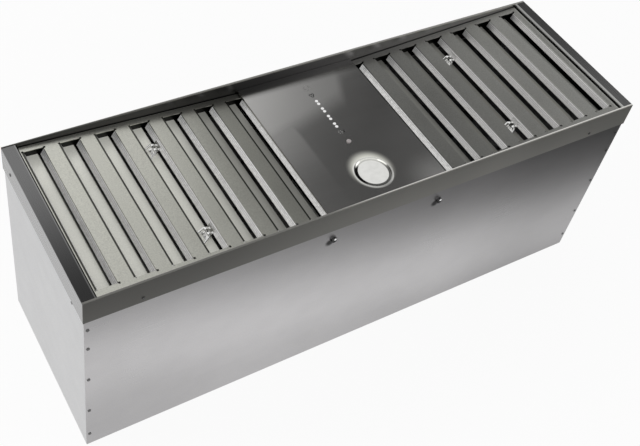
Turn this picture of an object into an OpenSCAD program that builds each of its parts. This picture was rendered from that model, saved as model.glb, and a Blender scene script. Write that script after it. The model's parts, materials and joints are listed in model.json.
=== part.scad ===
// Range hood insert, standing on its closed top plate with the filter side up.
// X runs along the long side, -Y is the front, the top plate rests on z = 0.

/* [Case] */
// Length over the rim
case_l = 900; // [880:10:960]
// Depth over the rim
case_d = 275; // [275:1:285]
// Height from the resting face to the rim
case_h = 340; // [340:5:380]
// Sheet thickness of the walls
wall_t = 1.2; // [0.8:0.1:1.5]
// Sheet thickness of the rim and the top plate
rim_t = 1.5; // [1:0.1:1.5]
// Height of the rim skirt
skirt_h = 40; // [30:1:42]
// Width of the flange on each end rim
end_flange_w = 18; // [16:0.5:19]
// Width of the folded hem on each long rim
hem_w = 3; // [2:0.5:4]

/* [Filters] */
// Angle at which each filter rises to its outer end
filter_tilt = 2.9; // [2:0.1:3.2]
// Thickness of a filter
filter_t = 25; // [23:1:26]
// Distance between two slots
slot_pitch = 50.5; // [50:0.1:50.5]
// Width of a slot
slot_w = 30; // [26:1:32]
// Number of slots in a filter
slot_n = 7; // [7:1:7]
// Swing of a filter when it is tipped out, shown at rest when 0
filter_open = 0; // [0:1:48]

/* [Centre panel] */
// Half the width of the panel
panel_half = 99; // [96:1:99]
// Distance from the rim down to the panel
panel_drop = 17; // [16:0.5:18]
// Distance of the lamp from the middle
lamp_y = -84; // [-86:1:-80]
// Radius of the lamp's trim ring
lamp_r = 29.6; // [28:0.1:31]
// Distance between two indicator marks
mark_pitch = 17; // [16:0.5:18]

/* [Blower] */
// Outer radius of the impeller
wheel_r = 58; // [54:1:59]
// Number of blades
blade_n = 28; // [20:1:36]
// Inner radius of the outlet collar
outlet_r = 76; // [75:0.5:77]

/* [Hidden] */
$fn = 48;
eps = 0.01;

// The case: outer faces of the walls, and the space inside them
wall_x = case_l / 2 - rim_t;
wall_y = case_d / 2 - rim_t;
in_x = wall_x - wall_t;
in_y = wall_y - wall_t;
wall_top = case_h - rim_t;
skirt_z = case_h - skirt_h;
seam_w = 15;
seam_in = 3.6;
plate_lip = 20;

// Fasteners
rivet_head_r = 2.2;
rivet_head_h = 0.8;
rivet_r = 1.6;
corner_rivet_z = [27, 90, 168, 240, 281];
rim_rivet_x = 372;
rim_rivet_z = 308;
end_rivets = [[107, 317], [-99, 294]];
screw_x = 90;
screw_z = 279;
screw_r = 2;
hang_hole = [430, 112];
hang_hole_r = 4.5;

// Pivot line of a filter, under the lip of the panel
panel_z = case_h - panel_drop;
panel_t = 1.2;
panel_lip = 3.8;
pivot_x = panel_half - panel_t / 2;
pivot_z = panel_z - panel_lip - 0.6;
pivot_gap = 1;

// The filter in its own plane: s along X from its left edge, t up from its face
filter_l = 344;
filter_half_y = 133.5;
filter_tuck = 13;
sheet_t = 1;
slot_first = 2.5;
slot_near = -121;
slot_far = 124;
leg_run = 6;
leg_drop = 9.8;
leg_end_gap = 2;
notch = 3;
base_drop = 19;
base_w = 17.6;
base_lip_run = 3;
frame_flange = 8;

// The wire handles, in the middle slot
bail_slot = 3;
bail_y = [-80, 82];
bail_wire_r = 1.25;
bail_pivot_s = 19;
bail_pivot_drop = 11;
bail_reach = 12;
bail_half = 8;
bail_half_out = 9.5;
bail_skew = 4;
bail_sag = 22;
knuckle_r = 2.7;
knuckle_w = 3.2;
knuckle_y = 4.4;
knuckle_bore_r = 1.6;
clip_w = 14;
clip_foot = 13.5;

// The lamp
lens_r = 22.2;
lens_lip = 2.4;
ring_bead = 3.2;
lamp_hole_r = 27.5;

// The row of controls along the middle of the panel
mark_y = 68;
mark_n = 4;
mark_split = 3.05;
mark_r = 2.4;
button_y = -19;
button_r = 3.5;
button_hole_r = 3.9;
button_proud = 1.4;
box_half_x = 32;
box_near = -34;
box_far = 118;
box_z = 296;
board_z = 303;
board_t = 1.6;

// The blower: the scroll's centre, half length and its spiral
scroll_y = -50;
scroll_z = 176;
scroll_half = 58;
scroll_r_first = 86;
scroll_r_last = 66;
scroll_cut = 300;
outlet_top = 82;
cut_y = 33;
inlet_r = 46;
shaft_r = 4;
bearing_r = 4.05;
motor_r = 36;
motor_x = 66;
motor_l = 46;
wheel_half = 52;
blade_t = 1.2;
blade_depth = 10;
blade_lean = 28;

// The outlet and its two flaps
collar_t = 1;
collar_flange = 13;
duct_stop_z = 66;
damper_bore_r = outlet_r - 1.5;
rod_z = 77;
rod_r = 2;
flap_t = 0.8;
flap_r = outlet_r - 3;
flap_gap = 0.6;
flap_eye_r = 3.6;
flap_eye_bore = 2.35;

// The terminal box on the top plate
tbox = [100, 66, 44];
tbox_at = [370, 92];
tbox_wall = 2;
grommet_x = 395;
grommet_r = 5;
grommet_hole_r = 9;
cable_r = 3;
lamp_cable_z = 285;

steel = "silver";
galvanised = "lightgray";
zinc = "gainsboro";

// Helpers

// A box given by its two opposite corners
module block(a, b) {
    translate(a) cube(b - a);
}

// A round bar from one point to another along one axis
module bar_x(x0, x1, r) {
    translate([x0, 0, 0]) rotate([0, 90, 0]) cylinder(r = r, h = x1 - x0);
}
module bar_y(y0, y1, r) {
    translate([0, y1, 0]) rotate([90, 0, 0]) cylinder(r = r, h = y1 - y0);
}

// A flat ring standing on z = 0
module ring(r_out, r_in, h) {
    difference() {
        cylinder(r = r_out, h = h);
        translate([0, 0, -1]) cylinder(r = r_in, h = h + 2);
    }
}

// A route whose corners are rounded off over a length of bend on either side
function unit(v) = v / norm(v);
function corner(a, v, b, bend, steps) =
    let (p = v - unit(v - a) * bend, q = v + unit(b - v) * bend)
    [for (i = [0 : steps]) let (u = i / steps) p * (1 - u) * (1 - u) + v * 2 * u * (1 - u) + q * u * u];
function rounded(p, bend, steps) = concat(
    [p[0]],
    [for (i = [1 : len(p) - 2]) each corner(p[i - 1], p[i], p[i + 1], bend, steps)],
    [p[len(p) - 1]]
);

// Rings of points along a route: each ring slides along its stretch to the
// plane that halves the next bend
function bend_normal(p, i) = i == len(p) - 1
    ? unit(p[i] - p[i - 1])
    : unit(unit(p[i] - p[i - 1]) + unit(p[i + 1] - p[i]));
function slid(ring, d, at, n) = [for (q = ring) q + d * (((at - q) * n) / (d * n))];
function rings(p, ring, i = 0) = i == len(p) - 1
    ? ring
    : concat(ring, rings(p, slid(ring, p[i + 1] - p[i], p[i + 1], bend_normal(p, i + 1)), i + 1));

// A cable or wire of radius r along a route
module wire(route, r, bend, steps = 3) {
    sides = 8;
    p = rounded(route, bend, steps);
    d = unit(p[1] - p[0]);
    u = unit(cross(d, abs(d[2]) < 0.9 ? [0, 0, 1] : [1, 0, 0]));
    w = cross(d, u);
    first = [for (k = [0 : sides - 1]) p[0] + r * (cos(k * 360 / sides) * u + sin(k * 360 / sides) * w)];
    last = (len(p) - 1) * sides;
    polyhedron(
        points = rings(p, first),
        faces = concat(
            [[for (k = [0 : sides - 1]) k]],
            [for (i = [0 : len(p) - 2], k = [0 : sides - 1]) let (n = (k + 1) % sides)
                [i * sides + k, (i + 1) * sides + k, (i + 1) * sides + n, i * sides + n]],
            [[for (k = [sides - 1 : -1 : 0]) last + k]]
        )
    );
}

// The places of the rivets in a long wall: [x, z]
function corner_rivets_at() = [
    for (side = [-1, 1], z = corner_rivet_z) [side * (in_x - seam_in), z]
];
function rim_rivets_at() = [for (side = [-1, 1]) [side * rim_rivet_x, rim_rivet_z]];
function bracket_screws_at() = [for (side = [-1, 1]) [side * screw_x, screw_z]];

// Holes along Y at a list of [x, z]
module holes_y(places, r, y0, y1) {
    for (p = places) translate([p[0], 0, p[1]]) bar_y(y0, y1, r);
}
// Holes along X at a list of [y, z]
module holes_x(places, r, x0, x1) {
    for (p = places) translate([0, p[0], p[1]]) bar_x(x0, x1, r);
}

// Case

module front_wall_shape() {
    difference() {
        block([-wall_x, -wall_y, 0], [wall_x, -in_y, wall_top]);
        holes_y(corner_rivets_at(), rivet_r, -wall_y - 1, -in_y + 1);
        holes_y(rim_rivets_at(), rivet_r, -wall_y - 1, -in_y + 1);
        holes_y(bracket_screws_at(), screw_r, -wall_y - 1, -in_y + 1);
    }
}
module front_wall() {
    color(galvanised) front_wall_shape();
}
module back_wall() {
    color(galvanised) mirror([0, 1, 0]) front_wall_shape();
}

// An end wall with its two seam flanges, which lie inside the long walls
module left_wall_shape() {
    difference() {
        union() {
            block([-wall_x, -in_y, 0], [-in_x, in_y, wall_top]);
            for (side = [0, 1])
                mirror([0, side, 0])
                    block([-in_x - eps, -in_y, plate_lip + 4], [-in_x + seam_w, -in_y + wall_t, skirt_z]);
        }
        holes_y(corner_rivets_at(), rivet_r, -in_y - 1, in_y + 1);
        holes_x(end_rivets, rivet_r, -wall_x - 1, -in_x + 1);
    }
}
module left_wall() {
    color(galvanised) left_wall_shape();
}
module right_wall() {
    color(galvanised) mirror([1, 0, 0]) left_wall_shape();
}

// The plate that the case rests on, with lips turned up inside the walls
module top_plate() {
    color(galvanised) difference() {
        union() {
            block([-in_x, -in_y, 0], [in_x, in_y, rim_t]);
            for (side = [-1, 1]) {
                translate([0, side * (in_y - wall_t / 2), plate_lip / 2])
                    cube([2 * in_x - 8, wall_t, plate_lip], center = true);
                translate([side * (in_x - wall_t / 2), 0, plate_lip / 2])
                    cube([wall_t, 2 * in_y - 8, plate_lip], center = true);
            }
        }
        translate([0, 0, -1]) cylinder(r = outlet_r, h = rim_t + 2, $fn = 96);
        translate([grommet_x, tbox_at[1], -1]) cylinder(r = grommet_hole_r, h = rim_t + 2);
        for (sx = [-1, 1], sy = [-1, 1])
            translate([sx * hang_hole[0], sy * hang_hole[1], -1])
                cylinder(r = hang_hole_r, h = rim_t + 2);
    }
}

// A long rim: an outer skirt with a narrow folded hem over the wall's edge
module front_rim_shape() {
    y0 = -case_d / 2;
    difference() {
        union() {
            block([-case_l / 2, y0, skirt_z], [case_l / 2, -wall_y, case_h]);
            block([-case_l / 2, -wall_y - eps, wall_top], [case_l / 2, y0 + hem_w, case_h]);
        }
        holes_y(rim_rivets_at(), rivet_r, y0 - 1, -wall_y + 1);
    }
}
module front_rim() {
    color(steel) front_rim_shape();
}
module back_rim() {
    color(steel) mirror([0, 1, 0]) front_rim_shape();
}

// An end rim: a skirt, a flange over the filter's end and a lip turned down
module left_rim_shape() {
    x0 = -case_l / 2;
    half = case_d / 2 - hem_w;
    lip_drop = 6;
    difference() {
        union() {
            block([x0, -wall_y, skirt_z], [-wall_x, wall_y, wall_top]);
            block([x0, -half, wall_top], [x0 + end_flange_w, half, case_h]);
            block([x0 + end_flange_w - rim_t, -half, case_h - lip_drop],
                [x0 + end_flange_w, half, wall_top + eps]);
        }
        holes_x([end_rivets[0]], rivet_r, x0 - 1, -wall_x + 1);
    }
}
module left_rim() {
    color(steel) left_rim_shape();
}
module right_rim() {
    color(steel) mirror([1, 0, 0]) left_rim_shape();
}

// A rivet along -Y: its head outside the surface at y, its shank to y_in
module rivet_y(x, z, y, y_in) {
    translate([x, 0, z]) {
        bar_y(y - rivet_head_h, y, rivet_head_r);
        bar_y(y - eps, y_in, rivet_r);
    }
}
module corner_rivets() {
    color(zinc) for (side = [0, 1], p = corner_rivets_at())
        mirror([0, side, 0]) rivet_y(p[0], p[1], -wall_y, -in_y + wall_t);
}
module rim_rivets() {
    color(zinc) {
        for (side = [0, 1], p = rim_rivets_at())
            mirror([0, side, 0]) rivet_y(p[0], p[1], -case_d / 2, -in_y);
        for (side = [0, 1]) mirror([side, 0, 0]) {
            translate([0, end_rivets[0][0], end_rivets[0][1]]) {
                bar_x(-case_l / 2 - rivet_head_h, -case_l / 2, rivet_head_r);
                bar_x(-case_l / 2 - eps, -in_x, rivet_r);
            }
            translate([0, end_rivets[1][0], end_rivets[1][1]]) {
                bar_x(-wall_x - rivet_head_h, -wall_x, rivet_head_r);
                bar_x(-wall_x - eps, -in_x, rivet_r);
            }
        }
    }
}

// The four screws that hold the panel's brackets to the long walls
module bracket_screws() {
    head_r = 5;
    head_h = 3.2;
    brim_h = 1.2;
    color(zinc) for (side = [0, 1], p = bracket_screws_at())
        mirror([0, side, 0]) translate([p[0], 0, p[1]]) difference() {
            union() {
                bar_y(-wall_y - brim_h, -wall_y, head_r);
                bar_y(-wall_y - head_h, -wall_y, head_r - 0.9);
                bar_y(-wall_y - eps, -in_y + 8, screw_r);
            }
            for (turn = [0, 90])
                translate([0, -wall_y - head_h, 0]) rotate([0, turn, 0])
                    cube([4.4, 1.4, 0.9], center = true);
        }
}

// Filters

// From the filter's plane to the part: children are in [s, y, t] of a filter
module in_left_filter() {
    translate([-pivot_x, 0, pivot_z])
        rotate([0, filter_tilt + filter_open, 0])
            translate([filter_tuck - filter_l, 0, -pivot_gap])
                children();
}
module in_right_filter() {
    translate([pivot_x, 0, pivot_z])
        rotate([0, -filter_tilt - filter_open, 0])
            translate([-filter_tuck, 0, -pivot_gap])
                children();
}

// The left edge of slot k
function slot_s(k) = slot_first + k * slot_pitch;

// An outline in s and t drawn along Y
module along_y(y0, y1) {
    translate([0, y1, 0]) rotate([90, 0, 0]) linear_extrude(height = y1 - y0) children();
}

// The pressed face: a flat sheet whose slot edges are bent down as legs
module filter_face_shape() {
    difference() {
        block([0, -filter_half_y, -sheet_t], [filter_l, filter_half_y, 0]);
        for (k = [0 : slot_n - 1]) {
            block([slot_s(k), slot_near, -5], [slot_s(k) + slot_w, slot_far, 5]);
            for (s = [slot_s(k), slot_s(k) + slot_w], y = [slot_near, slot_far])
                translate([s, y, 0]) cube([notch, notch, 10], center = true);
        }
    }
    for (k = [0 : slot_n - 1], side = [0, 1])
        translate([slot_s(k) + slot_w / 2, 0, 0]) mirror([side, 0, 0])
            along_y(slot_near + leg_end_gap, slot_far - leg_end_gap)
                polygon([
                    [slot_w / 2 - sheet_t - 0.2, 0],
                    [slot_w / 2 + eps, 0],
                    [slot_w / 2 + eps, -sheet_t],
                    [slot_w / 2 - leg_run + sheet_t, -leg_drop],
                    [slot_w / 2 - leg_run, -leg_drop]
                ]);
}

// One strip behind each slot, with a lip turned back along both edges
module filter_baffles_shape() {
    lip_t = -filter_t + sheet_t + 0.3;
    for (k = [0 : slot_n - 1])
        translate([slot_s(k) + slot_w / 2, 0, 0])
            along_y(-filter_half_y + sheet_t, filter_half_y - sheet_t)
                polygon([
                    [-base_w / 2, -base_drop],
                    [base_w / 2, -base_drop],
                    [base_w / 2 + base_lip_run, lip_t],
                    [base_w / 2 + base_lip_run - sheet_t, lip_t],
                    [base_w / 2 - sheet_t, -base_drop - sheet_t],
                    [-base_w / 2 + sheet_t, -base_drop - sheet_t],
                    [-base_w / 2 - base_lip_run + sheet_t, lip_t],
                    [-base_w / 2 - base_lip_run, lip_t]
                ]);
}

// The channel around the edge of a filter, open towards its middle
module filter_frame_shape() {
    difference() {
        block([0, -filter_half_y, -filter_t], [filter_l, filter_half_y, -sheet_t]);
        block([sheet_t, -filter_half_y + sheet_t, -filter_t + sheet_t],
            [filter_l - sheet_t, filter_half_y - sheet_t, 1]);
        block([frame_flange, -filter_half_y + frame_flange, -filter_t - 1],
            [filter_l - frame_flange, filter_half_y - frame_flange, 1]);
    }
}

// The two clips in the middle slot that carry the wire handles
module filter_clips_shape() {
    foot_t = 1.2;
    for (y = bail_y) translate([slot_s(bail_slot), y, 0]) {
        along_y(-clip_w / 2, clip_w / 2)
            polygon([
                [clip_foot, -base_drop],
                [21.5, -base_drop],
                [slot_w - leg_run - 0.2, -leg_drop - 0.3],
                [slot_w - leg_run - 0.2, -leg_drop],
                [slot_w - 3.4, -3.2],
                [slot_w - 4.6, -3.2],
                [slot_w - leg_run - 1.4, -leg_drop],
                [20.6, -base_drop + foot_t],
                [clip_foot, -base_drop + foot_t]
            ]);
        for (side = [-1, 1]) translate([bail_pivot_s, side * knuckle_y, -bail_pivot_drop])
            difference() {
                union() {
                    bar_y(-knuckle_w / 2, knuckle_w / 2, knuckle_r);
                    block([-1.6, -knuckle_w / 2, -base_drop + bail_pivot_drop + foot_t / 2],
                        [1.6, knuckle_w / 2, 0]);
                }
                bar_y(-knuckle_w, knuckle_w, knuckle_bore_r);
            }
    }
}

// A wire handle about its pivot line, folded down to -X
module bail_shape() {
    rotate([0, -bail_sag, 0]) wire([
        [0, knuckle_y - knuckle_w / 2 - 0.3, 0],
        [0, bail_half, 0],
        [-bail_reach, bail_half_out - bail_skew, 0],
        [-bail_reach, -bail_half_out - bail_skew, 0],
        [0, -bail_half, 0],
        [0, -knuckle_y + knuckle_w / 2 + 0.3, 0]
    ], bail_wire_r, 2);
}
module bail_at(i) {
    translate([slot_s(bail_slot) + bail_pivot_s, bail_y[i], -bail_pivot_drop]) bail_shape();
}

module left_filter_face() {
    color(steel) in_left_filter() filter_face_shape();
}
module left_filter_baffles() {
    color(steel) in_left_filter() filter_baffles_shape();
}
module left_filter_frame() {
    color(galvanised) in_left_filter() filter_frame_shape();
}
module left_filter_clips() {
    color(zinc) in_left_filter() filter_clips_shape();
}
module right_filter_face() {
    color(steel) in_right_filter() filter_face_shape();
}
module right_filter_baffles() {
    color(steel) in_right_filter() filter_baffles_shape();
}
module right_filter_frame() {
    color(galvanised) in_right_filter() filter_frame_shape();
}
module right_filter_clips() {
    color(zinc) in_right_filter() filter_clips_shape();
}
module left_front_bail() {
    color(zinc) in_left_filter() bail_at(0);
}
module left_back_bail() {
    color(zinc) in_left_filter() bail_at(1);
}
module right_front_bail() {
    color(zinc) in_right_filter() bail_at(0);
}
module right_back_bail() {
    color(zinc) in_right_filter() bail_at(1);
}

// The ledges along the long walls on which the filters rest
module filter_rails() {
    rail_start = 16;
    rail_end = 326;
    rail_w = 9;
    rail_h = 11;
    rest_gap = 0.4;
    top = -pivot_gap - filter_t - rest_gap;
    color(galvanised) for (mx = [0, 1], my = [0, 1])
        mirror([mx, 0, 0]) mirror([0, my, 0])
            translate([pivot_x, 0, pivot_z]) rotate([0, -filter_tilt, 0]) {
                block([rail_start, -in_y, top - rim_t], [rail_end, -in_y + rail_w, top]);
                block([rail_start, -in_y, top - rail_h], [rail_end, -in_y + rim_t, top]);
            }
}

// Leaf springs on the end walls that press against the filter's outer edge
module filter_catches() {
    catch_w = 16;
    catch_y = 70;
    nose_x = in_x - 16.5;
    color(zinc) for (mx = [0, 1], my = [0, 1])
        mirror([mx, 0, 0]) mirror([0, my, 0])
            along_y(-catch_y - catch_w / 2, -catch_y + catch_w / 2)
                polygon([
                    [in_x, 290],
                    [in_x, 330],
                    [in_x - 1, 330],
                    [nose_x, 318],
                    [nose_x, 315],
                    [in_x - 4, 305],
                    [in_x - 3.4, 305.5],
                    [nose_x + 0.8, 315.4],
                    [nose_x + 0.8, 317.6],
                    [in_x - 1, 328.8],
                    [in_x - 1, 290]
                ]);
}

// Centre panel, controls and lamp

// The middles of the round indicator windows, in pairs
function window_y() = [
    for (i = [0 : mark_n - 1], half = [-1, 1]) mark_y - i * mark_pitch + half * mark_split
];

module centre_panel() {
    end_y = in_y - 0.4;
    end_lip = 12;
    color("dimgray") difference() {
        union() {
            block([-panel_half, -end_y, panel_z - panel_t], [panel_half, end_y, panel_z]);
            for (side = [-1, 1]) {
                translate([side * (panel_half - panel_t / 2), 0, panel_z - panel_lip / 2])
                    cube([panel_t, 2 * end_y, panel_lip], center = true);
                translate([0, side * (end_y - panel_t / 2), panel_z - end_lip / 2])
                    cube([120, panel_t, end_lip], center = true);
            }
        }
        translate([0, lamp_y, 0]) cylinder(r = lamp_hole_r, h = case_h);
        translate([0, button_y, 0]) cylinder(r = button_hole_r, h = case_h);
        for (y = window_y()) translate([0, y, 0]) cylinder(r = mark_r, h = case_h);
    }
}

// A plate along each long wall, with a shelf under the panel
module panel_brackets() {
    foot_z = 262;
    neck_z = 287;
    shelf_w = 12;
    y0 = -in_y;
    y1 = y0 + rim_t;
    end_lip_z = panel_z - 12;
    color(galvanised) for (side = [0, 1]) mirror([0, side, 0]) difference() {
        union() {
            block([-100, y0, foot_z], [100, y1, neck_z]);
            block([-80, y0, neck_z - eps], [80, y1, end_lip_z - 2]);
            block([-80, y0, end_lip_z - 2 - rim_t], [80, y0 + shelf_w, end_lip_z - 2]);
            for (x = [-80, 66])
                block([x, y0 + shelf_w - rim_t, end_lip_z - 2 - eps], [x + 14, y0 + shelf_w, panel_z - panel_t]);
        }
        holes_y(bracket_screws_at(), screw_r, y0 - 1, y1 + 1);
    }
}

module indicator_windows() {
    color("white") for (y = window_y())
        translate([0, y, board_z + board_t + 1]) cylinder(r = mark_r, h = panel_z + 0.3 - board_z - board_t - 1);
}

// An open plastic tray that hangs under the panel around the controls
module control_box() {
    tray_t = 2;
    color("darkslategray") difference() {
        block([-box_half_x, box_near, box_z], [box_half_x, box_far, panel_z - panel_t]);
        block([-box_half_x + tray_t, box_near + tray_t, box_z + tray_t],
            [box_half_x - tray_t, box_far - tray_t, panel_z]);
        translate([8, 106, box_z - 1]) cylinder(r = cable_r + 0.2, h = 4);
    }
}

module control_board() {
    stand = 2.6;
    color("darkgreen") {
        block([-26, box_near + 4, board_z], [26, box_far - 4, board_z + board_t]);
        for (x = [-18, 12]) block([x, 92, board_z + board_t], [x + 10, 104, board_z + board_t + 7]);
        block([-22, -10, board_z + board_t], [-12, 60, board_z + board_t + stand]);
        for (sx = [-1, 1], y = [box_near + 10, box_far - 10])
            translate([sx * 21, y, box_z + 2]) cylinder(r = 2.5, h = board_z - box_z - 2 + eps);
    }
}

module button_switch() {
    base = board_z + board_t;
    color("black") {
        translate([-4, button_y - 4, base]) cube([8, 8, 5]);
        translate([0, button_y, base + 5 - eps]) cylinder(r = 1.8, h = 3.3);
    }
}

// The cap of the switch, kept in by a flange under the panel
module push_button() {
    color(zinc) translate([0, button_y, 0]) {
        translate([0, 0, 314.5]) cylinder(r = button_r, h = panel_z + button_proud - 314.5);
        translate([0, 0, 319]) cylinder(r = 5.6, h = 2);
    }
}

// The trim ring: an outer bead, a groove, and a lip around the lens
module lamp_ring() {
    color(zinc) translate([0, lamp_y, 0]) rotate_extrude($fn = 96) polygon([
        [lens_r, panel_z - 22],
        [lamp_hole_r - 0.3, panel_z - 22],
        [lamp_hole_r - 0.3, panel_z],
        [lamp_r, panel_z],
        [lamp_r - 0.3, panel_z + 0.9],
        [lamp_r - ring_bead / 2, panel_z + 1.8],
        [lamp_r - ring_bead, panel_z + 1.5],
        [lamp_r - ring_bead - 0.4, panel_z - 1.5],
        [lens_r + lens_lip + 0.2, panel_z - 1.5],
        [lens_r + lens_lip, panel_z + 0.8],
        [lens_r, panel_z + 0.8]
    ]);
}
module lamp_lens() {
    color("white") translate([0, lamp_y, 0]) rotate_extrude($fn = 96) polygon([
        [0, panel_z - 3],
        [lens_r, panel_z - 3],
        [lens_r, panel_z],
        [lens_r * 0.6, panel_z + 0.7],
        [0, panel_z + 1]
    ]);
}
module lamp_housing() {
    color("gray") translate([0, lamp_y, 0]) rotate_extrude($fn = 96) polygon([
        [0, panel_z - 26],
        [lamp_hole_r + 2, panel_z - 26],
        [lamp_hole_r + 2, panel_z - panel_t],
        [lamp_hole_r - 0.3, panel_z - panel_t],
        [lamp_hole_r - 0.3, panel_z - 22.2],
        [20, panel_z - 22.2],
        [20, panel_z - 23.5],
        [0, panel_z - 23.5]
    ]);
}
module led_board() {
    color("white") translate([0, lamp_y, panel_z - 23.5]) {
        cylinder(r = 19.5, h = 1.2);
        for (turn = [0 : 60 : 300]) rotate(turn) translate([11, -1.75, 1.2 - eps]) cube([3.5, 3.5, 0.8]);
    }
}
module lamp_heat_sink() {
    fin_n = 12;
    h = 16;
    z = panel_z - 26 - h;
    color("darkgray") translate([0, lamp_y, z]) {
        cylinder(r = 12, h = h);
        translate([0, 0, h - 3]) cylinder(r = 24, h = 3);
        for (i = [0 : fin_n - 1]) rotate(i * 360 / fin_n)
            translate([11, -0.8, 0]) cube([12, 1.6, h - 2]);
    }
}
module lamp_driver() {
    color("whitesmoke") {
        block([-230, 68, rim_t], [-140, 108, 26]);
        for (x = [-240, -140]) block([x, 78, rim_t], [x + 10, 98, 4]);
    }
}

// Blower

// Radius of the scroll at an angle measured from +Y towards +Z
function scroll_r(a) = scroll_r_first - (scroll_r_first - scroll_r_last) * a / scroll_cut;
function cut_z(grow) = -sqrt(pow(scroll_r_last + grow, 2) - pow(cut_y - grow, 2));
function scroll_outline(grow, foot) = concat(
    [[scroll_r_first + grow, foot]],
    [for (a = [0 : 6 : scroll_cut - 6]) (scroll_r(a) + grow) * [cos(a), sin(a)]],
    [[cut_y - grow, cut_z(grow)]],
    [[cut_y - grow, foot]]
);

// A drawing in Y and Z about the scroll's centre, drawn along X
module along_x(x0, x1) {
    translate([x0, scroll_y, scroll_z]) rotate([90, 0, 90]) linear_extrude(height = x1 - x0) children();
}

module blower_wrapper() {
    foot = outlet_top - scroll_z;
    color(galvanised) difference() {
        along_x(-scroll_half, scroll_half) polygon(scroll_outline(wall_t, foot));
        along_x(-scroll_half - 1, scroll_half + 1) polygon(scroll_outline(0, foot - 1));
    }
}

module blower_side_shape() {
    foot = outlet_top - scroll_z;
    difference() {
        along_x(scroll_half, scroll_half + wall_t) polygon(scroll_outline(wall_t, foot));
        translate([0, scroll_y, scroll_z]) bar_x(scroll_half - 1, scroll_half + 3, inlet_r + 3);
    }
}
module blower_left_side() {
    color(galvanised) mirror([1, 0, 0]) blower_side_shape();
}
module blower_right_side() {
    color(galvanised) blower_side_shape();
}

// Bell mouths in the two inlets
module inlet_rings() {
    x0 = scroll_half - 3;
    x1 = scroll_half + wall_t;
    color(zinc) for (side = [0, 1]) mirror([side, 0, 0])
        translate([0, scroll_y, scroll_z]) rotate([0, 90, 0]) rotate_extrude($fn = 96) polygon([
            [inlet_r, x0],
            [inlet_r + 1, x0],
            [inlet_r + 3, x1 - 2],
            [inlet_r + 3, x1],
            [inlet_r + 8, x1],
            [inlet_r + 8, x1 + 1],
            [inlet_r + 2.4, x1 + 1],
            [inlet_r + 2, x1 - 1.4]
        ]);
}

// Brackets between the blower's sides and the top plate
module blower_feet() {
    x0 = scroll_half + wall_t;
    color(galvanised) for (side = [0, 1]) mirror([side, 0, 0]) {
        block([x0, -90, rim_t], [x0 + rim_t, -70, 122]);
        block([x0, -90, rim_t], [x0 + 20, -70, 2 * rim_t]);
    }
}

// A wheel of thin blades between two rims, on a hub plate
module impeller() {
    hub_r = 12;
    color("darkgray") translate([0, scroll_y, scroll_z]) difference() {
        union() {
            bar_x(-1, 1, wheel_r - 2);
            bar_x(-13, 13, hub_r);
            for (side = [0, 1]) mirror([side, 0, 0]) translate([wheel_half - 2, 0, 0])
                rotate([0, 90, 0]) ring(wheel_r, wheel_r - blade_depth, 2);
            for (i = [0 : blade_n - 1]) rotate([i * 360 / blade_n, 0, 0])
                translate([0, wheel_r - 6, 0]) rotate([blade_lean, 0, 0])
                    cube([2 * wheel_half - 1, blade_depth, blade_t], center = true);
        }
        bar_x(-20, 20, shaft_r);
    }
}

module fan_shaft() {
    color("gray") translate([0, scroll_y, scroll_z]) bar_x(-16, motor_x + motor_l - 8, shaft_r);
}

module fan_motor() {
    cap_l = 5;
    color("slategray") translate([0, scroll_y, scroll_z]) difference() {
        union() {
            bar_x(motor_x, motor_x + cap_l, motor_r - 5);
            bar_x(motor_x + cap_l - eps, motor_x + motor_l - cap_l, motor_r);
            bar_x(motor_x + motor_l - cap_l - eps, motor_x + motor_l, motor_r - 5);
        }
        bar_x(motor_x - 1, motor_x + motor_l - 6, bearing_r);
    }
}

// A ring around the motor on three arms that stand on the blower's side
module motor_bracket() {
    x0 = scroll_half + wall_t;
    ring_x = motor_x + 12;
    arm_r = 60;
    arm_w = 12;
    color(galvanised) translate([0, scroll_y, scroll_z]) {
        translate([ring_x, 0, 0]) rotate([0, 90, 0]) ring(motor_r + 3, motor_r, 14);
        for (turn = [90, 210, 330]) rotate([turn, 0, 0]) {
            block([ring_x, motor_r + 2, -arm_w / 2], [ring_x + 2, arm_r, arm_w / 2]);
            block([x0, arm_r - 2, -arm_w / 2], [ring_x + 2, arm_r, arm_w / 2]);
            block([x0, arm_r - 2, -arm_w / 2], [x0 + 2, arm_r + 6, arm_w / 2]);
        }
    }
}

module run_capacitor() {
    color("white") translate([0, 40, rim_t + 16]) {
        bar_x(200, 262, 16);
        bar_x(262 - eps, 268, 5);
        translate([226, -17.5, -16]) difference() {
            cube([10, 35, 34]);
            translate([-1, 17.5, 16]) bar_x(-1, 13, 16 - eps);
        }
    }
}

// Outlet

// A plate that carries the scroll's mouth on the round collar
module outlet_adapter() {
    z0 = rod_z + 4;
    foot = outlet_top - z0;
    color(galvanised) translate([0, 0, z0]) difference() {
        cylinder(r = outlet_r + collar_flange, h = foot);
        block([-scroll_half, scroll_y + cut_y, -1], [scroll_half, scroll_y + scroll_r_first, foot + 1]);
    }
}

module outlet_collar() {
    top = rod_z + 4;
    color(galvanised) difference() {
        union() {
            translate([0, 0, rim_t]) cylinder(r = outlet_r + collar_t, h = duct_stop_z + collar_t - rim_t, $fn = 96);
            translate([0, 0, duct_stop_z]) cylinder(r = damper_bore_r + collar_t, h = top - duct_stop_z, $fn = 96);
            translate([0, 0, rim_t]) cylinder(r = outlet_r + collar_flange, h = collar_t);
            translate([0, 0, top - collar_t]) cylinder(r = outlet_r + collar_flange, h = collar_t);
        }
        translate([0, 0, -1]) cylinder(r = outlet_r, h = duct_stop_z + 1, $fn = 96);
        translate([0, 0, duct_stop_z - 1]) cylinder(r = damper_bore_r, h = top, $fn = 96);
        translate([0, 0, rod_z]) bar_x(-outlet_r - 5, outlet_r + 5, rod_r);
    }
}

module damper_rod() {
    color("gray") translate([0, 0, rod_z]) bar_x(-outlet_r - collar_t, outlet_r + collar_t, rod_r);
}

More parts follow.
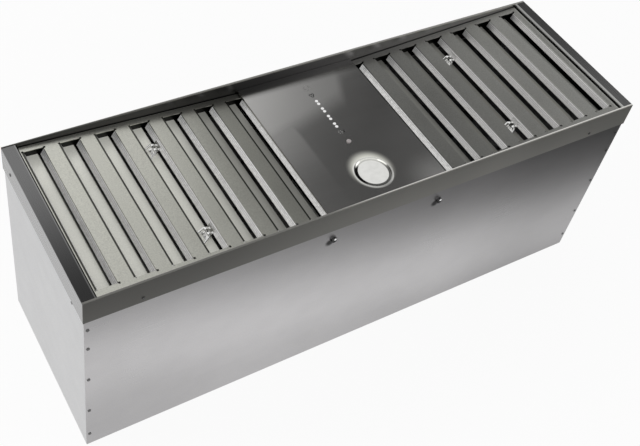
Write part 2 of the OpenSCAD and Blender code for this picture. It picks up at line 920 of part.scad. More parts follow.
// A half-round flap that hangs on the rod by its own eyes; the eyes of
// the front flap and those of the back flap take turns along the rod
module flap_shape(eyes) {
    translate([0, 0, rod_z]) difference() {
        union() {
            difference() {
                translate([0, 0, -flap_t / 2]) cylinder(r = flap_r, h = flap_t, $fn = 96);
                block([-flap_r - 1, -flap_r - 1, -1], [flap_r + 1, flap_eye_r + flap_gap, 1]);
            }
            for (x = eyes) translate([x, 0, 0]) {
                bar_x(-8, 8, flap_eye_r);
                block([-8, 0, -flap_t / 2], [8, flap_eye_r + flap_gap + 1, flap_t / 2]);
            }
        }
        bar_x(-flap_r, flap_r, flap_eye_bore);
    }
}
module damper_flap_front() {
    color("lightsteelblue") mirror([0, 1, 0]) flap_shape([-48, 8]);
}
module damper_flap_back() {
    color("lightsteelblue") flap_shape([-24, 32]);
}

// Electrical parts on the top plate

module terminal_box() {
    x = tbox_at[0];
    y = tbox_at[1];
    z0 = rim_t;
    color("dimgray") difference() {
        block([x - tbox[0] / 2, y - tbox[1] / 2, z0], [x + tbox[0] / 2, y + tbox[1] / 2, z0 + tbox[2]]);
        block([x - tbox[0] / 2 + tbox_wall, y - tbox[1] / 2 + tbox_wall, z0 + tbox_wall],
            [x + tbox[0] / 2 - tbox_wall, y + tbox[1] / 2 - tbox_wall, z0 + tbox[2] + 1]);
        translate([grommet_x, y, 0]) cylinder(r = grommet_hole_r, h = 10);
        for (p = [[110, 20], [74, 14]])
            translate([0, p[0], p[1]]) bar_x(x - tbox[0] / 2 - 1, x - tbox[0] / 2 + 4, cable_r);
    }
}
module terminal_box_cover() {
    z0 = rim_t + tbox[2];
    color("gray") {
        translate([tbox_at[0], tbox_at[1], z0 + 1]) cube([tbox[0] + 2, tbox[1] + 2, 2], center = true);
        for (sx = [-1, 1])
            translate([tbox_at[0] + sx * 42, tbox_at[1], z0 + 2 - eps]) cylinder(r = 3.5, h = 1.6);
    }
}
module terminal_block() {
    color("ivory") for (i = [0 : 4]) difference() {
        translate([339 + i * 8.4, 84, rim_t + tbox_wall]) cube([8, 16, 15]);
        for (dy = [4, 12])
            translate([343 + i * 8.4, 84 + dy, rim_t + tbox_wall + 9]) cylinder(r = 2.2, h = 10);
    }
}
module cable_grommet() {
    color("black") translate([grommet_x, tbox_at[1], 0]) difference() {
        union() {
            cylinder(r = grommet_hole_r, h = rim_t + tbox_wall + eps);
            translate([0, 0, rim_t + tbox_wall]) cylinder(r = grommet_hole_r + 3, h = 6);
        }
        translate([0, 0, -1]) cylinder(r = grommet_r, h = 20);
    }
}

// The cables to the control board and from the driver to the lamp
module control_cables() {
    x0 = tbox_at[0] - tbox[0] / 2;
    color("black") {
        wire([[x0 + 3, 110, 20], [8, 110, 20], [8, 106, 60], [8, 106, board_z - 0.3]], cable_r - 0.1, 12);
        wire([[-130, 88, 14], [-104, 88, 14], [-104, 88, lamp_cable_z], [-44, 88, lamp_cable_z],
            [-44, lamp_y, lamp_cable_z], [-26.5, lamp_y, lamp_cable_z],
            [-26.5, lamp_y, panel_z - 26]], 2.2, 8);
    }
}
module motor_cable() {
    x0 = tbox_at[0] - tbox[0] / 2;
    color("black") wire([
        [x0 + 3, 74, 14],
        [140, 74, 14],
        [140, 74, 150],
        [140, scroll_y, scroll_z],
        [motor_x + motor_l, scroll_y, scroll_z]
    ], cable_r - 0.1, 12);
}

front_wall();
back_wall();
left_wall();
right_wall();
top_plate();
front_rim();
back_rim();
left_rim();
right_rim();
corner_rivets();
rim_rivets();
bracket_screws();
filter_rails();
filter_catches();
centre_panel();
panel_brackets();
indicator_windows();
control_box();
control_board();
button_switch();
push_button();
lamp_ring();
lamp_lens();
lamp_housing();
led_board();
lamp_heat_sink();
lamp_driver();
blower_wrapper();
blower_left_side();
blower_right_side();
inlet_rings();
blower_feet();
impeller();
fan_shaft();
fan_motor();
motor_bracket();
run_capacitor();
outlet_adapter();
outlet_collar();
damper_rod();
damper_flap_front();
damper_flap_back();
terminal_box();
terminal_box_cover();
terminal_block();
cable_grommet();
control_cables();
motor_cable();
left_filter_face();
left_filter_baffles();
left_filter_frame();
left_filter_clips();
right_filter_face();
right_filter_baffles();
right_filter_frame();
right_filter_clips();
left_front_bail();
left_back_bail();
right_front_bail();
right_back_bail();
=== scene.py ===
import json
import math

import bmesh
import bpy
from mathutils import Matrix, Vector


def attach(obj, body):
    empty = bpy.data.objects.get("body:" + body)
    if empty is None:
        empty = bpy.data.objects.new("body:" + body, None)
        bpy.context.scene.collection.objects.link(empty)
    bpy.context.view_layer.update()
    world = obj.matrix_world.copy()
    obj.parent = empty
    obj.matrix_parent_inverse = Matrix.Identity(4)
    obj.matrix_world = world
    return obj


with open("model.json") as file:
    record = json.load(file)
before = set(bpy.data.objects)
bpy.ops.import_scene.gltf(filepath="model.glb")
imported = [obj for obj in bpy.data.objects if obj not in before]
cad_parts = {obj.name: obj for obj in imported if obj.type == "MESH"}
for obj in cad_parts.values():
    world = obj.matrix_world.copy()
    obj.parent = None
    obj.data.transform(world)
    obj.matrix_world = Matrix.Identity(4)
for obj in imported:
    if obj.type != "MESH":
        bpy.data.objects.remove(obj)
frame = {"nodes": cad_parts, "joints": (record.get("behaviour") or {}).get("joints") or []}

MM = 0.001

# Places on the part and widths of painted bands, in metres
LAMP_PLACE = (0.0, -0.084, 0.323)
GLOW_PLACE = (0.001, -0.0765, 0.323)
GLOW_REACH = (0.021, 0.038)
WALL_FACE = (0.4485, 0.1360)
WALL_INSIDE = (0.4475, 0.1350)
END_FLANGE = (0.1345, 0.1347)
SHADE_BAND = (0.285, 0.305)
HEM_INSIDE = (0.1366, 0.1370)
HEM_EDGE = 0.1352
HEM_TOP = (0.3393, 0.3396)
FLANGE_TOP = (0.3375, 0.3383)
FLANGE_EDGE = 0.4327
EDGE_HALF_WIDTH = 0.0012
NEAR_LEFT_CORNER = (-0.45, -0.1365, 0.0)
PANEL_NEAR_RIGHT = (0.085, -0.128, 0.323)
SLOT_NEAR_END = (-0.1215, -0.1205)
SLOT_FAR_END = (0.1235, 0.1245)
BEAD = (0.0272, 0.0282)
RING_MIDDLE = 0.0256
RING_HALF_WIDTH = 0.0016
SCREW_PLACES = ((-0.090, -0.1365, 0.279), (0.090, -0.1365, 0.279))
PANEL_TOP = 0.323

# A filter: its tilt, then its sizes and painted bands in millimetres
FILTER_TILT = math.radians(2.9)
FILTER_LENGTH = 344
FILTER_HALF_DEPTH = 133.5
FILTER_HEIGHT = 25
FILTER_TUCK = 13
FACE_DROP = 1
SLOT_FIRST = 2.5
SLOT_PITCH = 50.5
SLOT_EDGE_LINE = (0.1, 1.9)
LEG_START = (-1.6, -1.2)
LEG_LINES = ((-0.9, 0.6, 0.30), (-3.4, 0.8, 0.30), (-5.6, 0.6, 0.25))
BASE_TOP = (-19.8, -19.4)

# Height of a printed symbol over the panel, in millimetres
SYMBOL_HEIGHT = 0.08

# Directions around the lamp's ring of its painted shade and painted highlights, in degrees from +X, each with
# a half width
DARK_ARC = (172, 52)
BRIGHT_ARCS = ((120, 18), (28, 20))

# How bright the studio looks to metal, by direction in degrees from +X
STUDIO = {-180: 0.80, -90: 0.40, -20: 0.25, 30: 0.30, 40: 0.24, 46: 0.10, 50: 0.15, 55: 0.50,
          61: 0.92, 120: 1.0, 180: 0.86}

node_of = frame["nodes"]
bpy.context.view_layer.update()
scene = bpy.context.scene
pivot_of = {
    joint["name"].split("_")[0]: joint["pos_m"]
    for joint in frame["joints"] if joint["name"].endswith("filter_tip")
}


# Shader helpers


class Look:
    """A material being made: its shader, and short calls that add nodes to it."""

    def __init__(self, name, color, metallic=0.0, roughness=0.5, **sockets):
        self.material = bpy.data.materials.new(name)
        self.material.use_nodes = True
        self.tree = self.material.node_tree
        self.shader = self.tree.nodes["Principled BSDF"]
        self.shader.inputs["Base Color"].default_value = (*color, 1)
        self.shader.inputs["Metallic"].default_value = metallic
        self.shader.inputs["Roughness"].default_value = roughness
        for socket, value in sockets.items():
            self.shader.inputs[socket.replace("_", " ")].default_value = value
        self.place = self.tree.nodes.new("ShaderNodeTexCoord").outputs["Object"]
        self.height = None

    def link(self, source, target):
        if hasattr(source, "is_linked"):
            self.tree.links.new(source, target)
        else:
            target.default_value = source
        return target

    def math(self, operation, a, b=0.0, c=0.0):
        node = self.tree.nodes.new("ShaderNodeMath")
        node.operation = operation
        for socket, value in zip(node.inputs, (a, b, c)):
            self.link(value, socket)
        return node.outputs[0]

    def scaled(self, period, shift=(0, 0, 0)):
        """Object coordinates divided by a period in millimetres along each axis."""
        node = self.tree.nodes.new("ShaderNodeMapping")
        self.link(self.place, node.inputs["Vector"])
        node.inputs["Scale"].default_value = [1 / (p * MM) for p in period]
        node.inputs["Location"].default_value = shift
        return node.outputs[0]

    def noise(self, period, detail=2.0, rough=0.5, shift=(0, 0, 0)):
        node = self.tree.nodes.new("ShaderNodeTexNoise")
        self.link(self.scaled(period, shift), node.inputs["Vector"])
        node.inputs["Scale"].default_value = 1
        node.inputs["Detail"].default_value = detail
        node.inputs["Roughness"].default_value = rough
        return node.outputs[0]

    def cells(self, period, feature="F1"):
        node = self.tree.nodes.new("ShaderNodeTexVoronoi")
        node.feature = feature
        self.link(self.scaled(period), node.inputs["Vector"])
        node.inputs["Scale"].default_value = 1
        return node

    def axis(self, name):
        node = self.tree.nodes.new("ShaderNodeSeparateXYZ")
        self.link(self.place, node.inputs[0])
        return node.outputs[name]

    def filter_plane(self, side):
        """In millimetres: the way along a filter from its inner edge, and the height over its face."""
        pivot = pivot_of[side]
        out = 1 if side == "right" else -1
        x = self.math("MULTIPLY_ADD", self.axis("X"), 1000 * out, -1000 * abs(pivot[0]))
        z = self.math("MULTIPLY_ADD", self.axis("Z"), 1000, -1000 * pivot[2])
        cos, sin = math.cos(FILTER_TILT), math.sin(FILTER_TILT)
        rise = self.math("MULTIPLY_ADD", z, sin, FILTER_TUCK)
        along = self.math("ADD", self.math("MULTIPLY", x, cos), rise)
        up = self.math("ADD", self.math("MULTIPLY", x, -sin), self.math("MULTIPLY_ADD", z, cos, FACE_DROP))
        return along, up

    def line(self, value, middle, half_width):
        """1 on a line and 0 beside it."""
        away = self.math("ABSOLUTE", self.math("SUBTRACT", value, middle))
        return self.spread(away, half_width * 0.4, half_width, 1, 0)

    def spread(self, value, low, high, to_low=0.0, to_high=1.0):
        """Maps low...high smoothly to to_low...to_high, and holds the ends."""
        node = self.tree.nodes.new("ShaderNodeMapRange")
        node.interpolation_type = "SMOOTHSTEP"
        for socket, number in zip(node.inputs, (value, low, high, to_low, to_high)):
            self.link(number, socket)
        return node.outputs[0]

    def mix(self, share, a, b, blend="MIX"):
        node = self.tree.nodes.new("ShaderNodeMix")
        node.data_type = "RGBA"
        node.blend_type = blend
        self.link(share, node.inputs["Factor"])
        for socket, color in ((node.inputs[6], a), (node.inputs[7], b)):
            if isinstance(color, tuple) and len(color) == 3:
                color = (*color, 1)
            self.link(color, socket)
        return node.outputs[2]

    def tint(self, share):
        """Multiplies the base colour that the look has so far."""
        color = self.shader.inputs["Base Color"].links[0].from_socket
        scale = self.tree.nodes.new("ShaderNodeVectorMath")
        scale.operation = "SCALE"
        self.tree.links.new(color, scale.inputs[0])
        self.link(share, scale.inputs["Scale"])
        self.color(scale.outputs[0])

    def cast(self, share, a, b):
        """Multiplies the base colour by a colour between a and b."""
        color = self.shader.inputs["Base Color"].links[0].from_socket
        self.color(self.mix(1.0, color, self.mix(share, a, b), blend="MULTIPLY"))

    def glow(self, share, color, strength):
        """Emission of one colour, stronger where share is higher."""
        self.shader.inputs["Emission Color"].default_value = (*color, 1)
        self.link(self.math("MULTIPLY", share, strength), self.shader.inputs["Emission Strength"])

    def distance_from(self, point):
        """Distance in metres from a point of the piece's own coordinates."""
        node = self.tree.nodes.new("ShaderNodeVectorMath")
        node.operation = "DISTANCE"
        self.link(self.place, node.inputs[0])
        node.inputs[1].default_value = point
        return node.outputs["Value"]

    def color(self, source):
        self.link(source, self.shader.inputs["Base Color"])

    def rough(self, source):
        self.link(source, self.shader.inputs["Roughness"])

    def bump(self, height, distance):
        """Adds a height in millimetres to the surface's normal."""
        node = self.tree.nodes.new("ShaderNodeBump")
        node.inputs["Strength"].default_value = 1
        node.inputs["Distance"].default_value = distance * MM
        self.link(height, node.inputs["Height"])
        if self.height is not None:
            self.link(self.height, node.inputs["Normal"])
        self.height = node.outputs[0]
        self.link(self.height, self.shader.inputs["Normal"])


def steel(name, color, roughness, grain_axis, grain=1.0, speckle=1.0, patch=0.12):
    """Sheet steel with a grain along one axis, a fine speckle and slow changes of tone."""
    look = Look(name, color, metallic=1.0, roughness=roughness)
    along = {"x": (160, 0.9, 0.9), "y": (0.9, 160, 0.9), "z": (0.9, 0.9, 160), "": (3, 3, 3)}[grain_axis]
    fine = look.noise(along, detail=4, rough=0.6)
    grit = look.noise((1.7, 1.7, 1.7), detail=3, rough=0.7, shift=(3, 5, 7))
    slow = look.noise((150, 130, 120), detail=2, rough=0.5, shift=(1, 2, 3))
    tone = look.math("MULTIPLY_ADD", fine, 0.16 * grain, 1.0 - 0.08 * grain)
    tone = look.math("MULTIPLY_ADD", look.math("SUBTRACT", grit, 0.5), 0.22 * speckle, tone)
    tone = look.math("MULTIPLY_ADD", look.math("SUBTRACT", slow, 0.5), patch, tone)
    vary = look.tree.nodes.new("ShaderNodeVectorMath")
    vary.operation = "SCALE"
    vary.inputs[0].default_value = color
    look.link(tone, vary.inputs["Scale"])
    look.color(vary.outputs[0])
    look.rough(look.math("MULTIPLY_ADD", look.math("SUBTRACT", fine, 0.5), 0.16 * grain,
                         look.math("MULTIPLY_ADD", look.math("SUBTRACT", slow, 0.5), 0.10, roughness)))
    look.bump(fine, 0.010 * grain)
    look.bump(grit, 0.010 * speckle)
    return look


# Materials


def wall_look():
    """Galvanised sheet. Its tone along x is a painted reflection, the dark spots beside the screws are
    painted shadows, the darkening towards the near left corner is painted shade, and the shade inside is
    painted.
    """
    look = steel("wall_steel", (0.606, 0.596, 0.602), 0.30, "x", grain=0.5, speckle=1.2)
    x = look.axis("X")
    look.tint(look.math("MULTIPLY_ADD", look.noise((34, 30, 26), detail=3), 0.10, 0.95))
    # Painted reflection: lighter towards -x, darker towards +x.
    look.tint(look.spread(x, -0.42, 0.20, 1.12, 0.90))
    look.tint(look.spread(x, 0.12, 0.36, 1.0, 0.73))
    # Painted shadows below the screws and to their -x side.
    for place in SCREW_PLACES:
        screw_shadow_distance = look.distance_from((place[0] - 0.005, place[1], place[2] - 0.005))
        look.tint(look.spread(screw_shadow_distance, 0.003, 0.009, 0.10, 1.0))
    # Painted shade: darker towards the near left corner at the floor.
    look.tint(look.spread(look.distance_from(NEAR_LEFT_CORNER), 0.06, 0.32, 0.84, 1.0))
    inside = look.spread(look.math("ABSOLUTE", look.axis("Y")), WALL_INSIDE[1], WALL_FACE[1] - 0.0002, 1, 0)
    inside = look.math("MULTIPLY", inside, look.spread(look.axis("Z"), *SHADE_BAND))
    look.tint(look.math("MULTIPLY_ADD", inside, look.spread(x, -0.12, 0.25, -0.88, -0.15), 1.0))
    return look


def end_wall_look():
    """Galvanised sheet, paler than the front and back walls as a painted reflection, with the shade inside
    under the rim painted.
    """
    look = steel("end_wall_steel", (0.84, 0.84, 0.845), 0.32, "y", grain=0.4, speckle=1.2)
    look.tint(look.math("MULTIPLY_ADD", look.noise((30, 34, 26), detail=3), 0.10, 0.95))
    inside = look.spread(look.math("ABSOLUTE", look.axis("X")), WALL_INSIDE[0], WALL_FACE[0] - 0.0002, 1, 0)
    between = look.spread(look.math("ABSOLUTE", look.axis("Y")), *END_FLANGE, 1, 0)
    inside = look.math("MULTIPLY", inside, between)
    inside = look.math("MULTIPLY", inside, look.spread(look.axis("Z"), *SHADE_BAND))
    look.tint(look.math("MULTIPLY_ADD", inside, -0.88, 1.0))
    return look


def long_rim_look(side):
    """Dark brushed sheet. The tone along x on the front rim and on the back rim's inner face is a painted
    reflection, and the bright line on the front hem is a painted highlight, made with emission.
    """
    look = steel(side + "_rim_steel", (0.345, 0.34, 0.318), 0.34, "x", grain=0.5, speckle=0.4)
    x = look.axis("X")
    if side == "back":
        inner = look.spread(look.axis("Y"), *HEM_INSIDE, 1, 0)
        # Painted reflection: the inner face darker towards -x, lighter towards +x.
        look.tint(look.spread(inner, 0, 1, 1.2, look.spread(x, -0.45, 0.30, 0.14, 1.9)))
        return look
    # Painted reflection: darker towards -x, brighter towards +x.
    look.tint(look.spread(x, -0.40, 0.43, 0.55, 2.35))
    # Painted highlight: a bright line along the front hem's top edge, made with emission.
    top = look.spread(look.axis("Z"), *HEM_TOP)
    edge = look.line(look.math("ABSOLUTE", look.axis("Y")), HEM_EDGE, EDGE_HALF_WIDTH)
    bright = look.math("MULTIPLY", look.math("MULTIPLY", top, edge), look.spread(x, -0.12, 0.0, 0.05, 1))
    look.glow(bright, (0.86, 0.85, 0.82), 0.42)
    return look


def end_rim_look(side):
    """The pale skirt, the darker flange and the flange's tone along y are painted reflections, and the
    flange's bright inner edge is a painted highlight, made with emission.
    """
    out = 1 if side == "right" else -1
    look = steel(side + "_rim_steel", (0.30, 0.30, 0.30), 0.27, "y", grain=0.5, speckle=0.4)
    y = look.axis("Y")
    top = look.spread(look.axis("Z"), *FLANGE_TOP)
    # Painted reflection: the flange's tone along y.
    if side == "left":
        shade = look.spread(y, -0.13, 0.10, 0.13, 0.62)
    else:
        shade = look.spread(y, -0.13, 0.10, 0.85, 0.40)
    # Painted reflection: the skirt paler than the flange.
    skirt = look.math("MULTIPLY_ADD", top, -1.8, 1.8)
    look.tint(look.math("ADD", look.math("MULTIPLY", top, shade), skirt))
    # Painted highlight: the flange's inner edge, made with emission.
    edge = look.line(look.math("MULTIPLY", look.axis("X"), out), FLANGE_EDGE, EDGE_HALF_WIDTH)
    look.glow(look.math("MULTIPLY", top, edge), (0.86, 0.86, 0.84), 0.34 if side == "right" else 0.10)
    return look


def panel_look():
    """Dark brushed steel. Its sheens, the darker band along the far edge and the brighter near right corner
    are painted reflections, and the light around the lamp is painted light, made with emission.
    """
    look = steel("panel_steel", (0.30, 0.297, 0.29), 0.20, "x", grain=0.4, speckle=0.25, patch=0.06)
    x = look.axis("X")
    y = look.axis("Y")
    # Painted reflections: soft-edged sheens, a broad one and a strip towards -x.
    start = look.spread(x, 0.034, 0.068, 0.042, 0.086)
    slant = look.math("MULTIPLY_ADD", x, -0.25, y)
    broad = look.spread(look.math("SUBTRACT", slant, start), -0.012, 0.030, 0, 1)
    strip = look.math("MULTIPLY", look.spread(x, -0.062, -0.054, 1, 0), look.spread(y, -0.10, 0.06, 0.1, 1))
    sheen = look.math("MAXIMUM", broad, look.math("MULTIPLY", strip, 0.66))
    look.tint(look.math("MULTIPLY_ADD", sheen, 1.08, 1.09))
    # Painted reflection: a darker band along the far edge.
    look.tint(look.spread(look.math("MULTIPLY_ADD", x, 0.02, y), 0.108, 0.122, 1.0, 0.46))
    # Painted reflection: brighter towards the near right corner.
    look.tint(look.spread(look.distance_from(PANEL_NEAR_RIGHT), 0.0, 0.06, 2.1, 1.0))
    # Painted light around the lamp, made with emission.
    glow = look.spread(look.distance_from(GLOW_PLACE), *GLOW_REACH, 1, 0)
    look.glow(look.math("POWER", glow, 1.3), (0.80, 0.80, 0.72), 0.72)
    return look


def filter_face_look(side):
    """Speckled sheet. The plates' tone along x is a painted reflection, the dark line at each slot's left
    edge on the left filter is painted shade, the fine dark lines along the legs are painted shade at their
    folds, and the shine on a slot's legs is a painted highlight, made with emission.
    """
    look = steel(side + "_filter_sheet", (0.70, 0.70, 0.68), 0.33, "y", grain=0.5, speckle=3.2)
    along, up = look.filter_plane(side)
    x = look.axis("X")
    leg = look.spread(up, *LEG_START, 1, 0)
    if side == "left":
        # Painted reflection: the plates' tone along x.
        plate = look.spread(x, -0.27, -0.12, 0.96, 0.54)
        # Painted highlight: how strongly the legs shine, along x.
        shine = look.spread(x, -0.36, -0.11, 0.24, 0.38)
        start = look.math("MULTIPLY_ADD", along, -1, FILTER_LENGTH - SLOT_FIRST + 0.5 * SLOT_PITCH)
        phase = look.math("SUBTRACT", look.math("MODULO", start, SLOT_PITCH), 0.5 * SLOT_PITCH)
        y = look.axis("Y")
        within = look.math("MULTIPLY", look.spread(y, *SLOT_NEAR_END), look.spread(y, *SLOT_FAR_END, 1, 0))
        # Painted shade: a dark line at each slot's left edge.
        gap = look.math("MULTIPLY", look.line(phase, *SLOT_EDGE_LINE), within)
        plate = look.math("MULTIPLY", plate, look.math("MULTIPLY_ADD", gap, -0.9, 1.0))
    else:
        # Painted reflection: the plates' tone along x.
        plate = look.spread(x, 0.13, 0.42, 0.42, 0.86)
        # Painted highlight: extra shine on the first slot's leg, beside the panel.
        inner = look.spread(along, 32, 38, 0.30, 0)
        shine = look.math("ADD", look.spread(x, 0.18, 0.38, 0.20, 0.10), inner)
    lines = 1.0
    # Painted shade: fine dark lines at the folds of the legs.
    for height, half_width, depth in LEG_LINES:
        lines = look.math("MULTIPLY_ADD", look.line(up, height, half_width), -depth, lines)
    yellow = (1.0, 1.0, 0.93) if side == "left" else (1.0, 1.0, 0.97)
    look.cast(leg, yellow, (0.985, 0.970, 0.985))
    look.tint(lines)
    look.tint(look.spread(leg, 0, 1, plate, 1.0))
    sparkle = look.spread(look.noise((1.5, 4, 1.5), detail=3, rough=0.7), 0.30, 0.70, 0.55, 1.45)
    # Painted highlight on the legs, made with emission.
    shine = look.math("MULTIPLY", look.math("MULTIPLY", leg, sparkle), look.math("MULTIPLY", lines, shine))
    look.glow(shine, (0.74, 0.74, 0.73), 1.0)
    return look


def baffle_look(side):
    """Duller sheet at the bottom of the slots. Its tone along x is a painted reflection, and the bases are
    brightened by painted light, made with emission and stronger towards the far end.
    """
    look = steel(side + "_baffle_sheet", (0.74, 0.74, 0.68), 0.42, "y", grain=0.5, speckle=2.0)
    look.shader.inputs["Metallic"].default_value = 0.45
    along, up = look.filter_plane(side)
    x = look.axis("X")
    # Painted reflection: the tone along x, which also scales the painted light.
    reach = look.spread(x, -0.25, -0.15, 1.0, 0.44) if side == "left" else look.spread(x, 0.2, 0.4, 0.40, 0.6)
    # Painted light, stronger towards the far end of the slots.
    far_end = look.spread(look.axis("Y"), 0.05, 0.13, 0.16, 0.34)
    look.tint(reach)
    base = look.math("MULTIPLY", look.spread(up, *BASE_TOP), reach)
    look.glow(look.math("MULTIPLY", base, far_end), (0.74, 0.74, 0.68), 1.0 if side == "left" else 0.35)
    return look


def filter_frame_look(side):
    """Galvanised outside. The deep shade inside is painted."""
    look = steel(side + "_frame_sheet", (0.50, 0.50, 0.49), 0.38, "y", grain=0.4, speckle=1.2)
    along, up = look.filter_plane(side)
    y = look.math("MULTIPLY", look.math("ABSOLUTE", look.axis("Y")), 1000)
    inside = look.spread(y, FILTER_HALF_DEPTH - 0.6, FILTER_HALF_DEPTH - 0.4, 1, 0)
    inside = look.math("MULTIPLY", inside, look.spread(along, 0.4, 0.6))
    inside = look.math("MULTIPLY", inside, look.spread(up, 0.6 - FILTER_HEIGHT, 0.8 - FILTER_HEIGHT))
    inside = look.math("MULTIPLY", inside, look.spread(along, FILTER_LENGTH - 0.6, FILTER_LENGTH - 0.4, 1, 0))
    look.tint(look.math("MULTIPLY_ADD", inside, -0.95, 1.0))
    return look


def duct_look():
    return steel("duct_steel", (0.60, 0.60, 0.59), 0.36, "z", grain=0.4, speckle=1.2)


def chrome_look():
    look = Look("bright_wire", (0.86, 0.86, 0.85), metallic=1.0, roughness=0.16)
    look.rough(look.spread(look.noise((4, 4, 4)), 0.3, 0.7, 0.12, 0.22))
    look.bump(look.noise((1.2, 1.2, 1.2)), 0.02)
    return look


def zinc_look():
    look = Look("zinc_fastener", (0.42, 0.42, 0.42), metallic=1.0, roughness=0.35)
    tone = look.noise((2, 2, 2), detail=3)
    look.color(look.mix(tone, (0.10, 0.10, 0.10), (0.26, 0.26, 0.26)))
    look.rough(look.spread(tone, 0.3, 0.7, 0.22, 0.36))
    look.bump(tone, 0.03)
    return look


def screw_look():
    """Dark screws. The bright spot on each bracket screw's head is a painted highlight, made with emission.
    """
    look = Look("dark_screw", (0.20, 0.20, 0.20), metallic=1.0, roughness=0.24)
    tone = look.noise((2, 2, 2), detail=3)
    look.color(look.mix(tone, (0.05, 0.05, 0.05), (0.18, 0.18, 0.18)))
    look.bump(tone, 0.03)
    # Painted highlights on the bracket screws' heads, made with emission.
    spots = 0.0
    for place in SCREW_PLACES:
        away = look.distance_from((place[0] + 0.0010, place[1] - 0.0024, place[2] + 0.0018))
        spots = look.math("ADD", look.spread(away, 0.0010, 0.0026, 1, 0), spots)
    look.glow(spots, (0.9, 0.9, 0.9), 0.95)
    return look


def ring_look():
    """The lamp's plated trim. Its dark arc is painted shade, and its bright arcs, brighter upper side and
    bead are painted light, made with emission.
    """
    look = Look("ring_trim", (0.50, 0.50, 0.49), metallic=1.0, roughness=0.22)
    tone = look.noise((3, 3, 3), detail=3)
    look.color(look.mix(tone, (0.36, 0.36, 0.35), (0.52, 0.52, 0.50)))
    look.bump(tone, 0.02)
    away = look.distance_from(LAMP_PLACE)
    x = look.math("DIVIDE", look.math("SUBTRACT", look.axis("X"), LAMP_PLACE[0]), away)
    y = look.math("DIVIDE", look.math("SUBTRACT", look.axis("Y"), LAMP_PLACE[1]), away)

    def arc(middle, half_width):
        """1 in the part of the ring within half_width degrees of middle."""
        turn = math.radians(middle)
        toward = look.math("MULTIPLY_ADD", x, math.cos(turn), look.math("MULTIPLY", y, math.sin(turn)))
        low, high = [math.cos(math.radians(half_width * share)) for share in (1, 0.6)]
        return look.spread(toward, low, high)

    bead = look.spread(away, *BEAD)
    # Painted shade: a dark arc in the groove.
    groove_shade = look.math("MULTIPLY", arc(*DARK_ARC), look.math("MULTIPLY_ADD", bead, -1, 1))
    look.tint(look.math("MULTIPLY_ADD", groove_shade, -0.92, 1.0))
    # Painted light: brighter upper side, bright arcs and bead, made with emission.
    upper = look.spread(y, -0.2, 0.9, 0.0, 0.50)
    strip = look.math("MULTIPLY", look.line(away, RING_MIDDLE, RING_HALF_WIDTH), 0.45)
    arcs = look.math("MAXIMUM", arc(*BRIGHT_ARCS[0]), arc(*BRIGHT_ARCS[1]))
    bright = look.math("MULTIPLY", arcs, strip)
    light = look.math("MAXIMUM", look.math("ADD", upper, bright), look.math("MULTIPLY", bead, 0.13))
    light = look.math("MULTIPLY", light, look.math("MULTIPLY_ADD", groove_shade, -1, 1))
    look.glow(light, (0.80, 0.80, 0.76), 1.0)
    return look


def trim_look():
    look = Look("plated_trim", (0.74, 0.74, 0.72), metallic=1.0, roughness=0.2)
    look.rough(look.spread(look.noise((6, 6, 6), detail=3), 0.3, 0.7, 0.15, 0.28))
    look.bump(look.noise((0.8, 0.8, 0.8)), 0.01)
    return look


def plastic_look(name, color, roughness=0.45, grain=0.03):
    look = Look(name, color, roughness=roughness)
    tone = look.noise((18, 18, 18), detail=3)
    dark = tuple(c * 0.88 for c in color)
    light = tuple(min(1.0, c * 1.1) for c in color)
    look.color(look.mix(tone, dark, light))
    look.rough(look.spread(tone, 0.3, 0.7, roughness - 0.06, roughness + 0.08))
    look.bump(look.noise((0.7, 0.7, 0.7), detail=3), grain)
    return look


def aluminium_look():
    look = Look("cast_aluminium", (0.70, 0.71, 0.72), metallic=1.0, roughness=0.38)
    tone = look.noise((5, 5, 5), detail=4)
    look.color(look.mix(tone, (0.60, 0.61, 0.62), (0.76, 0.77, 0.78)))
    look.rough(look.spread(tone, 0.3, 0.7, 0.30, 0.46))
    look.bump(look.noise((0.9, 0.9, 0.9), detail=3), 0.04)
    return look


def board_look():
    """A green lacquered board with copper tracks that shine through it."""
    look = Look("board_green", (0.03, 0.16, 0.07), roughness=0.3)
    cells = look.cells((5, 5, 5), "DISTANCE_TO_EDGE")
    track = look.spread(cells.outputs["Distance"], 0.05, 0.12, 1, 0)
    look.color(look.mix(track, (0.02, 0.13, 0.06), (0.06, 0.26, 0.12)))
    look.bump(track, 0.04)
    look.rough(look.spread(track, 0, 1, 0.3, 0.4))
    return look


def lens_look():
    """A frosted lens, lit from behind, with a ring of faint petals."""
    look = Look("lamp_glass", (0.9, 0.9, 0.88), roughness=0.3, Coat_Weight=0.5, Coat_Roughness=0.1)
    glow = look.noise((9, 9, 9), detail=2)
    look.link(look.mix(glow, (0.66, 0.66, 0.63), (0.80, 0.80, 0.77)), look.shader.inputs["Emission Color"])
    look.shader.inputs["Emission Strength"].default_value = 0.74
    look.bump(look.noise((2.5, 2.5, 2.5), detail=2), 0.12)
    look.color(look.mix(glow, (0.16, 0.16, 0.16), (0.24, 0.24, 0.24)))
    return look


def window_look():
    look = Look("indicator_white", (0.8, 0.8, 0.8), roughness=0.25)
    tone = look.noise((1.5, 1.5, 1.5))
    look.link(look.mix(tone, (0.8, 0.8, 0.8), (0.95, 0.95, 0.95)), look.shader.inputs["Emission Color"])
    look.shader.inputs["Emission Strength"].default_value = 0.42
    look.color(look.mix(tone, (0.5, 0.5, 0.5), (0.62, 0.62, 0.62)))
    return look


def button_look():
    look = Look("button_cap", (0.62, 0.58, 0.57), metallic=0.6, roughness=0.3)
    tone = look.noise((1.5, 1.5, 1.5), detail=3)
    look.color(look.mix(tone, (0.56, 0.52, 0.52), (0.70, 0.66, 0.65)))
    look.bump(tone, 0.02)
    return look


def rubber_look():
    return plastic_look("black_rubber", (0.03, 0.03, 0.03), 0.6, 0.05)


